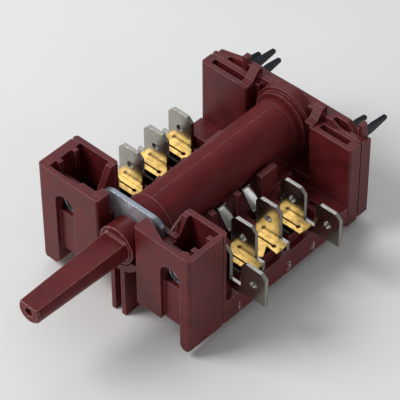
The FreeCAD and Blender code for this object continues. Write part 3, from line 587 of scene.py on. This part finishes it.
@dataclass
class CamDrum:
    """The turning drum between the spindle and the rear hub."""

    radius: float = 5.5
    cap_radius: float = 5.7
    front: float = 5.8
    cap_end: float = 9.9
    rear_groove: float = 45.4
    back: float = 50.1
    groove_width: float = 0.4
    groove_depth: float = 0.25
    edge: float = 0.25
    edge_turn: float = 0.3  # where the middle of the cap's edge lies, as a share of it
    soft: float = 0.06  # the finer edges, and the step up to a lobe
    first_row: float = 1.0  # behind the cap
    last_row: float = 0.4  # in front of the groove
    row_step: float = 0.6
    column_step: float = 2.0
    track_play: float = 0.01
    lobe_height: float = 0.3
    lobe_width: float = 3.4
    ramp: float = 5.0
    # each track's place along Y, and where its lobes start and how far they sweep
    tracks: tuple = (
        (17.15, ((192.0, 36.0), (262.0, 24.0))),
        (24.35, ((186.0, 24.0), (232.0, 48.0))),
        (31.55, ((204.0, 60.0),)),
    )

    def outline(self) -> tuple[np.ndarray, np.ndarray]:
        """Half profile of the drum without its lobes.

        Returns:
            Places along Y and the radius at each.
        """
        low = self.radius - self.groove_depth
        soft, turn = self.soft, self.edge_turn * self.edge
        corners = [
            (self.front, self.cap_radius - self.edge),
            (self.front + turn, self.cap_radius - turn),
            (self.front + self.edge, self.cap_radius),
            (self.cap_end - soft, self.cap_radius), (self.cap_end, self.cap_radius - soft),
            (self.cap_end, self.radius),
        ]
        plain = np.arange(self.cap_end + self.first_row, self.rear_groove - self.last_row,
                          self.row_step)
        steps = [y + sign * self.lobe_width / 2 + nudge for y, _ in self.tracks
                 for sign in (-1, 1) for nudge in (-soft, 0.0)]
        corners += [(y, self.radius) for y in sorted([*plain.tolist(), *steps])]
        end = self.rear_groove + self.groove_width
        corners += [
            (self.rear_groove - soft, self.radius), (self.rear_groove, self.radius - soft),
            (self.rear_groove, low), (end, low), (end, self.radius - soft),
            (end + soft, self.radius), (self.back, self.radius),
        ]
        places = np.array(corners)
        return places[:, 0], places[:, 1]

    def lift(self, y: np.ndarray, angle: np.ndarray) -> np.ndarray:
        """How far the surface stands above the plain drum: on each track a plateau with a
        soft ramp at both ends.

        Args:
            y: Places along Y, shape (rows, 1).
            angle: Angles in degrees, shape (1, columns).

        Returns:
            Lift of shape (rows, columns).
        """
        total = np.zeros(np.broadcast_shapes(y.shape, angle.shape))
        for middle, lobes in self.tracks:
            on_track = np.abs(y - middle) < self.lobe_width / 2 - self.track_play
            for start, sweep in lobes:
                rise = smooth_step(angle, start, start + self.ramp)
                fall = 1 - smooth_step(angle, start + sweep - self.ramp, start + sweep)
                total = np.maximum(total, on_track * rise * fall * self.lobe_height)
        return total

    def build(self, material: bpy.types.Material) -> bpy.types.Object:
        """Turns the outline round the axis: a point at angle a and radius r is
        (r cos a, y, r sin a), with r the outline plus the lift.

        Args:
            material: The drum's material.

        Returns:
            The piece, which stands for the plain drum.
        """
        angle = np.arange(0, 360, self.column_step)[None, :]
        y, radius = self.outline()
        reach = radius[:, None] + self.lift(y[:, None], angle)
        turn = np.radians(angle)
        rings = np.stack([reach * np.cos(turn), np.repeat(y[:, None], angle.size, axis=1),
                          reach * np.sin(turn)], axis=-1)
        piece = make_piece("drum_barrel", [tube(rings)], material, "camshaft")
        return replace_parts(piece, "cam_drum")


@dataclass
class DrumFlash:
    """What the mould's parting lines left on the drum: a broken ridge along its top and a
    fine bead round the edge of its cap."""

    drum: CamDrum
    start: float = 10.6
    end: float = 44.8
    angle: float = 92.0
    half_width: float = 0.075
    height: float = 0.06
    lowest: float = -0.3  # the ridge dips under the surface, as a share of its height
    rows: int = 260
    sunk: float = 0.02
    bead: float = 0.055
    bead_sunk: float = 0.01
    bead_steps: int = 120

    def ridge(self) -> Shell:
        """A ridge with a triangular section along the drum. Its height follows the
        product of two sines of y and a third, faster one, so it comes and goes.

        Returns:
            The ridge's shell.
        """
        y = np.linspace(self.start, self.end, self.rows)
        wave = 0.3 + 0.5 * np.sin(2.3 * y) * np.sin(0.83 * y + 1) + 0.4 * np.sin(9.1 * y)
        lift = self.height * np.clip(wave, self.lowest, 1)
        foot = np.full_like(y, -self.sunk)
        side = math.degrees(self.half_width / self.drum.radius)
        turn = np.radians(self.angle + side * np.array([-1, 0, 1, 0]))
        reach = self.drum.radius + np.stack([foot, lift, foot, 2 * foot], axis=-1)
        rings = np.stack([reach * np.cos(turn), np.repeat(y[:, None], turn.size, axis=1),
                          reach * np.sin(turn)], axis=-1)
        return tube(rings)

    def build(self, material: bpy.types.Material) -> bpy.types.Object:
        """Makes the ridge and the bead as one piece.

        Args:
            material: The flash's material.

        Returns:
            The piece.
        """
        bead = bead_ring((0.0, self.drum.cap_end, 0.0),
                         self.drum.cap_radius - self.bead_sunk,
                         self.bead, self.bead, self.bead_steps)
        return make_piece("drum_flash", [self.ridge(), bead], material, "camshaft")


@dataclass
class ContactSpring:
    """One contact spring: a flat leaf that turns up towards the drum and ends in a nose."""

    side: Side
    number: int
    width: float = 2.5
    thickness: float = 0.35
    level: float = -8.1
    outer: float = 17.4
    bend: float = 0.6
    heel: float = 7.95
    lean: float = 35.0
    nose: float = 0.4
    tail: float = 0.6
    orbit: float = 6.475  # the nose's middle from the drum's axis
    first_front: float = 15.9
    corner: float = 0.1
    leaf_end: float = 0.1  # from the leaf's last point to the bend
    run_points: int = 12
    bend_points: int = 9
    curl_points: int = 15
    tail_points: int = 4
    corner_points: int = 5
    supports: tuple = (0.06, 0.94)  # extra points on each flat, as shares of it

    def path(self) -> np.ndarray:
        """Midline of the strip in the X-Z plane on the right side: the leaf, an arc round
        the bend, the leaning run, an arc round the nose and the tail.

        Returns:
            Points (x, z) from the leaf's end to the tip.
        """
        half = self.thickness / 2
        level = self.level + half
        lean = math.radians(self.lean)
        along = np.array([-math.sin(lean), math.cos(lean)])
        across = np.array([math.cos(lean), math.sin(lean)])
        middle = np.array([self.heel + self.bend * math.tan((math.pi / 2 - lean) / 2),
                           level + self.bend])
        start = np.array([self.heel, level]) - across * self.nose
        inwards = -start @ along
        run = inwards - math.sqrt(inwards ** 2 - start @ start + self.orbit ** 2)
        nose = start + along * run
        low = np.linspace(1.5 * math.pi, math.pi + lean, self.bend_points)
        high = np.linspace(lean, math.pi, self.curl_points)
        leaf = np.linspace((self.outer, level), (middle[0] + self.leaf_end, level),
                           self.run_points)
        bend = middle + self.bend * np.stack([np.cos(low), np.sin(low)], axis=-1)
        curl = nose + self.nose * np.stack([np.cos(high), np.sin(high)], axis=-1)
        rise = np.linspace(bend[-1], curl[0], self.run_points)[1:-1]
        drop = np.linspace(0, self.tail, self.tail_points)[1:, None]
        tip = curl[-1] + drop * np.array([0, -1])
        return np.concatenate([leaf, bend, rise, curl, tip])

    def section(self) -> tuple[np.ndarray, np.ndarray]:
        """Rounded rectangle: a quarter circle at each corner of a smaller rectangle, with
        two more points on each flat close to its ends, which keep the flat evenly lit.

        Returns:
            Places across the strip's width and through its thickness.
        """
        wide, thick = self.width / 2 - self.corner, self.thickness / 2 - self.corner
        middles = np.array([(wide, thick), (-wide, thick), (-wide, -thick), (wide, -thick)])
        points = []
        for number, middle in enumerate(middles):
            turn = np.radians(90 * number + np.linspace(0, 90, self.corner_points))
            out = self.corner * np.stack([np.cos(turn), np.sin(turn)], axis=-1)
            start, end = middle + out[-1], middles[(number + 1) % 4] + out[-1]
            points += [*(middle + out), *(start + (end - start) * share
                                          for share in self.supports)]
        outline = np.array(points)
        return outline[:, 0], outline[:, 1]

    def build(self, material: bpy.types.Material) -> bpy.types.Object:
        """Carries a rectangle with rounded corners along the midline, always square to it.

        Args:
            material: The strip's material.

        Returns:
            The piece, which stands for the plain spring.
        """
        path = self.path()
        tangent = np.gradient(path, axis=0)
        tangent /= np.linalg.norm(tangent, axis=1, keepdims=True)
        normal = np.stack([-tangent[:, 1], tangent[:, 0]], axis=-1)
        v, w = self.section()
        front = self.first_front + PITCH * (self.number - SPRING_STATIONS.start)
        x = path[:, None, 0] + w[None, :] * normal[:, None, 0]
        z = path[:, None, 1] + w[None, :] * normal[:, None, 1]
        y = np.broadcast_to(front + self.width / 2 + v[None, :], x.shape)
        rings = np.stack([x * self.side.value, y, z], axis=-1)
        where = f"{self.side.word}_{self.number}"
        piece = make_piece(f"spring_strip_{where}", [tube(rings)], material,
                           f"spring_{where}")
        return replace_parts(piece, f"contact_spring_{where}")


@dataclass
class NarrowLeaf:
    """The slit leaf of the left side's third station, which is as narrow as its
    neighbours there. A hole punched at each end relieves the slit."""

    inner: float = 11.2
    outer: float = 19.7
    back: float = 26.7
    width: float = 2.5
    bottom: float = -7.3
    thickness: float = 0.25
    taper: float = 0.35  # how much shorter its front edge is
    slit: float = 0.35
    eye: float = 0.45
    eye_inset: float = 1.8
    eye_points: int = 24

    def keyhole(self) -> np.ndarray:
        """Outline of the slit with its two round ends.

        Returns:
            Points (x, y) round the outline.
        """
        middle = self.back - self.width / 2
        bend = math.asin(self.slit / 2 / self.eye)
        turn = np.linspace(bend, 2 * math.pi - bend, self.eye_points)
        first = np.stack([self.inner + self.eye_inset + self.eye * np.cos(turn),
                          middle + self.eye * np.sin(turn)], axis=-1)
        second = np.stack([self.outer - self.eye_inset - self.eye * np.cos(turn),
                           middle - self.eye * np.sin(turn)], axis=-1)
        return np.concatenate([first, second])

    def build(self, material: bpy.types.Material) -> bpy.types.Object:
        """Fills the outline round the keyhole and gives it its thickness.

        Args:
            material: The leaf's material.

        Returns:
            The piece, which stands for the plain leaf.
        """
        front = self.back - self.width
        plate = np.array([(self.inner, front), (self.outer - self.taper, front),
                          (self.outer, self.back), (self.inner, self.back)])
        drawing = bpy.data.curves.new("leaf_drawing", "CURVE")
        drawing.dimensions = "2D"
        drawing.fill_mode = "BOTH"
        drawing.extrude = self.thickness / 2 * MM
        for outline in (plate, self.keyhole()):
            spline = drawing.splines.new("POLY")
            spline.points.add(len(outline) - 1)
            for point, (x, y) in zip(spline.points, outline):
                point.co = (-x * MM, y * MM, 0, 1)
            spline.use_cyclic_u = True
        lift = (self.bottom + self.thickness / 2) * MM
        mesh = curve_mesh(drawing, Matrix.Translation((0, 0, lift)))
        piece = add_piece("leaf_plate_left_3", mesh, material, "housing")
        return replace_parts(piece, "brass_leaf_left_3")


@dataclass
class GateScar:
    """The rough line where the gate was broken off the right column's sloping edge."""

    start: tuple = (9.24, 5.5, 6.05)
    end: tuple = (9.24, 9.3, 8.34)
    radius: float = 0.24
    roughness: float = 0.6
    blunt: float = 0.02  # keeps the ends from being points
    rows: int = 60
    columns: int = 12

    def build(self, material: bpy.types.Material) -> bpy.types.Object:
        """Winds rings along the edge; the radius at place t and angle a is scaled by
        1 + k sin(41 t + 3 a) sin(97 t - a), so that the surface looks torn.

        Args:
            material: The scar's material.

        Returns:
            The piece.
        """
        t = np.linspace(0, 1, self.rows)[:, None]
        angle = circle(self.columns)[None, :]
        start, end = np.array(self.start), np.array(self.end)
        line = start + (end - start) * t
        torn = 1 + self.roughness * np.sin(41 * t + 3 * angle) * np.sin(97 * t - angle)
        reach = self.radius * torn * np.sqrt(np.clip(4 * t * (1 - t), self.blunt, 1))
        along = (end - start) / np.linalg.norm(end - start)
        across = np.array((1.0, 0.0, 0.0))
        away = np.cross(along, across)
        spread = np.cos(angle)[..., None] * across + np.sin(angle)[..., None] * away
        rings = line[:, None, :] + reach[..., None] * spread
        return make_piece("gate_scar", [tube(rings)], material, "housing",
                          crease=20.0)


@dataclass
class PanelThreads:
    """M4 threads inside the two plunged collars of the mounting plate."""

    spacing: float = 28.0
    bore: float = 4.0
    pitch: float = 0.7
    depth: float = 0.3
    front: float = 2.35
    back: float = 5.45
    segments: int = 40
    sunk: float = 0.02
    run_out: float = 0.8  # the angle, in radians, over which an end fades
    flank: float = 0.42  # the ridge's half width at its foot, as a share of the pitch
    crest: float = 0.15  # its width at the crest, as a share of that at the foot

    def ridge(self, centre: float) -> Shell:
        """A triangular ridge wound into a helix: the point at angle a lies a/360 of the
        pitch further along Y, and the triangle points inwards.

        Args:
            centre: The screw axis along X.

        Returns:
            The ridge's shell.
        """
        length = self.back - self.front - self.pitch
        turns = length / self.pitch
        angle = np.linspace(0, 2 * math.pi * turns, int(self.segments * turns))
        run = self.front + self.pitch / 2 + angle / (2 * math.pi) * self.pitch
        outer = self.bore / 2 + self.sunk
        fade = np.minimum(1, np.minimum(angle, angle[-1] - angle) / self.run_out)
        inner = outer - self.depth * fade
        foot = self.pitch * self.flank
        top = foot * self.crest
        radii = np.stack([np.full_like(angle, outer), inner, inner,
                          np.full_like(angle, outer)], axis=-1)
        shift = np.array([-foot, -top, top, foot])
        rings = np.stack([centre + radii * np.cos(angle)[:, None],
                          run[:, None] + shift[None, :],
                          radii * np.sin(angle)[:, None]], axis=-1)
        return tube(rings)

    def build(self, material: bpy.types.Material) -> bpy.types.Object:
        """Makes both threads as one piece.

        Args:
            material: The threads' material.

        Returns:
            The piece.
        """
        shells = [self.ridge(side.value * self.spacing / 2) for side in Side]
        return make_piece("panel_threads", shells, material, "housing")


@dataclass
class TabRims:
    """Rolled rims round the detent holes of the blade terminals."""

    hole: float = 0.85
    rim: float = 0.12
    rim_out: float = 0.3  # the rim's middle outside the hole, as a share of its half width
    rim_height: float = 0.45  # half its height, as a share of its half width
    steps: int = 40
    thickness: float = 0.8
    first: float = 12.7
    level: float = -2.2
    inner: float = 15.1
    outer: float = 24.15
    outer_level: float = -3.3

    def rims(self, side: Side, number: int) -> list[Shell]:
        """The rims on both faces of one terminal, round each of its holes.

        Args:
            side: The terminal's side.
            number: Its station.

        Returns:
            The rims' shells.
        """
        middle = self.first + PITCH * (number - 1)
        holes = [(self.inner, self.level)]
        if side is Side.RIGHT and number in DOUBLE_STATIONS:
            holes.append((self.outer, self.outer_level))
        return [bead_ring((x * side.value, middle + face * self.thickness / 2, z),
                          self.hole + self.rim_out * self.rim, self.rim,
                          self.rim_height * self.rim, self.steps)
                for x, z in holes for face in (-1, 1)]

    def build(self, material: bpy.types.Material) -> list[bpy.types.Object]:
        """Makes one piece for each terminal.

        Args:
            material: The terminals' material.

        Returns:
            The pieces.
        """
        return [make_piece(f"hole_rims_{side.word}_{number}", self.rims(side, number),
                           material, "housing")
                for side in Side for number in STATIONS]


@dataclass
class EjectorMarks:
    """Round marks that the mould's ejector pins left on the upper faces."""

    radius: float = 0.72
    bead: float = 0.07
    bead_height: float = 0.5  # half the height, as a share of the half width
    steps: int = 40
    top: float = 8.4
    places: tuple = ((-19.85, 1.05), (-19.9, 9.95), (-6.25, 1.75))

    def build(self, material: bpy.types.Material) -> bpy.types.Object:
        """Makes all marks as one piece of low beads, half sunk in the face.

        Args:
            material: The moulding's material.

        Returns:
            The piece.
        """
        shells = [bead_ring((x, y, self.top), self.radius, self.bead,
                            self.bead_height * self.bead, self.steps, upright=True)
                  for x, y in self.places]
        return make_piece("ejector_marks", shells, material, "housing")


@dataclass
class TerminalNumbers:
    """Plain numbers printed on the right side wall, one for each terminal."""

    wall: float = 19.1
    height: float = 2.4
    level: float = -14.2
    places: tuple = (14.2, 21.6, 28.8, 36.0)
    proud: float = 0.012
    type_size: float = 1.4  # the type's size over the height of its digits

    def build(self, material: bpy.types.Material) -> list[bpy.types.Object]:
        """Makes each number as a thin flat mesh that faces +X.

        Args:
            material: The ink.

        Returns:
            The pieces.
        """
        facing = Matrix(((0, 0, 1), (1, 0, 0), (0, 1, 0))).to_4x4()
        pieces = []
        for number, y in enumerate(self.places, start=1):
            digit = bpy.data.curves.new(f"number_{number}", "FONT")
            digit.body = str(number)
            digit.size = self.height * self.type_size * MM
            digit.align_x = "CENTER"
            digit.extrude = self.proud / 2 * MM
            shift = Vector((self.wall, y, self.level - self.height / 2)) * MM
            mesh = curve_mesh(digit, Matrix.Translation(shift) @ facing)
            pieces.append(add_piece(f"printed_number_{number}", mesh, material, "housing"))
        return pieces


@dataclass
class SolidFinishes:
    """Gives every node that is carried over its finish."""

    materials: dict[Slot, bpy.types.Material]
    spindle: bpy.types.Material
    # how a node's name starts, and its slot
    words: dict[str, Slot] = field(default_factory=lambda: {
        "front_housing": Slot.MOULDING, "base_tray": Slot.MOULDING,
        "rear_housing": Slot.MOULDING, "rear_cover": Slot.MOULDING,
        "cam_drum": Slot.DRUM, "spindle": Slot.DRUM, "mounting_plate": Slot.PLATE,
        "terminal": Slot.TAB, "brass_leaf": Slot.LEAF, "contact_spring": Slot.SPRING,
        "rear_blade": Slot.BLADE})

    def apply(self) -> None:
        """Puts the finish into each node's material slots."""
        for name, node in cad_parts.items():
            slot = next(s for word, s in self.words.items() if name.startswith(word))
            finish = self.spindle if name == "spindle" else self.materials[slot]
            if not node.data.materials:
                node.data.materials.append(finish)
            for index in range(len(node.data.materials)):
                node.data.materials[index] = finish
            LOG.info("%s is finished in %s", name, finish.name)


@dataclass(frozen=True)
class SoftLight:
    """A round area light that looks at the switch."""

    name: str
    towards: tuple[float, float, float]  # where it stands, seen from the switch
    size: float
    power: float
    colour: str
    distance: float = 620.0

    def build(self, middle: Vector) -> None:
        """Adds the light.

        Args:
            middle: What it looks at, in metres.
        """
        data = bpy.data.lights.new(self.name, "AREA")
        data.shape = "DISK"
        data.size = self.size * MM
        data.energy = self.power
        data.color = linear(self.colour)[:3]
        lamp = bpy.data.objects.new(self.name, data)
        towards = Vector(self.towards).normalized()
        lamp.location = middle + towards * self.distance * MM
        lamp.rotation_euler = towards.to_track_quat("Z", "Y").to_euler()
        bpy.context.scene.collection.objects.link(lamp)


@dataclass
class Studio:
    """A pale floor, an even sky, a key light from the front left, one from behind, a weak
    fill from the right and the photograph's camera."""

    floor_level: float = -18.5
    floor_gap: float = 0.02
    floor_half: float = 900.0
    world: str = "f2f4f7"
    world_strength: float = 0.36
    middle: tuple = (0.0, 18.0, -3.0)
    lights: tuple = (
        SoftLight("key_soft_light", (-0.484, -0.531, 0.696), 330.0, 2.4, "ffffff"),
        SoftLight("back_soft_light", (-0.484, 0.519, 0.704), 470.0, 0.7, "f6f8ff"),
        SoftLight("right_fill_light", (0.827, 0.519, 0.214), 260.0, 0.18, "ffffff"),
    )
    eye: tuple = (221.515, -213.919, 317.274)
    back: tuple = (0.4842, -0.5191, 0.7044)
    azimuth: float = 43.01
    roll: float = -0.39
    focal_pixels: float = 2310.0
    picture_pixels: float = 400.0
    sensor: float = 36.0
    nearest: float = 10.0

    def floor(self, material: bpy.types.Material) -> None:
        """Lays the floor under the feet, as one square.

        Args:
            material: The floor's material.
        """
        half = self.floor_half
        corners = np.array([(-half, -half), (half, -half), (half, half), (-half, half)])
        level = np.full(len(corners), self.floor_level - self.floor_gap)
        points = np.column_stack([corners, level]) * MM
        mesh = bpy.data.meshes.new("floor")
        mesh.from_pydata(points.tolist(), [], [(0, 1, 2, 3)])
        mesh.materials.append(material)
        piece = bpy.data.objects.new("floor", mesh)
        bpy.context.scene.collection.objects.link(piece)

    def sky(self) -> None:
        """Gives the world an even pale colour."""
        world = bpy.data.worlds.new("studio_world")
        world.use_nodes = True
        tree = world.node_tree
        tree.nodes.clear()
        sky = add_node(tree, "ShaderNodeBackground", {
            "Color": linear(self.world), "Strength": self.world_strength})
        add_node(tree, "ShaderNodeOutputWorld", {"Surface": sky.outputs["Background"]})
        bpy.context.scene.world = world

    def camera(self) -> None:
        """Places the camera: it looks against `back`, and its picture is rolled."""
        back = Vector(self.back).normalized()
        turn, roll = math.radians(self.azimuth), math.radians(self.roll)
        level = Vector((math.cos(turn), math.sin(turn), 0))
        level = (level - back * level.dot(back)).normalized()
        upward = back.cross(level)
        right = level * math.cos(roll) + upward * math.sin(roll)
        above = upward * math.cos(roll) - level * math.sin(roll)
        data = bpy.data.cameras.new("camera")
        data.sensor_width = self.sensor
        data.lens = self.sensor * self.focal_pixels / self.picture_pixels
        data.clip_start = self.nearest * MM
        item = bpy.data.objects.new("camera", data)
        axes = Matrix((right, above, back)).transposed().to_4x4()
        item.matrix_world = Matrix.Translation(Vector(self.eye) * MM) @ axes
        bpy.context.scene.collection.objects.link(item)
        bpy.context.scene.camera = item

    def build(self) -> None:
        """Sets up the whole studio."""
        bpy.context.scene.view_settings.view_transform = "Standard"
        self.floor(PAPER.build())
        for light in self.lights:
            light.build(Vector(self.middle) * MM)
        self.sky()
        self.camera()


def main() -> None:
    """Dresses the switch piece by piece and sets up the studio."""
    logging.basicConfig(level=logging.INFO, format="%(message)s")
    materials = {slot: finish.build() for slot, finish in FINISHES.items()}
    SolidFinishes(materials, SPINDLE.build()).apply()
    drum = CamDrum()
    drum.build(materials[Slot.DRUM])
    DrumFlash(drum).build(FLASH.build())
    for side in Side:
        for number in SPRING_STATIONS:
            ContactSpring(side, number).build(materials[Slot.SPRING])
    NarrowLeaf().build(materials[Slot.LEAF])
    GateScar().build(materials[Slot.MOULDING])
    PanelThreads().build(THREAD.build())
    TabRims().build(materials[Slot.TAB])
    EjectorMarks().build(materials[Slot.MOULDING])
    TerminalNumbers().build(INK.build())
    Studio().build()


if __name__ == "__main__":
    main()
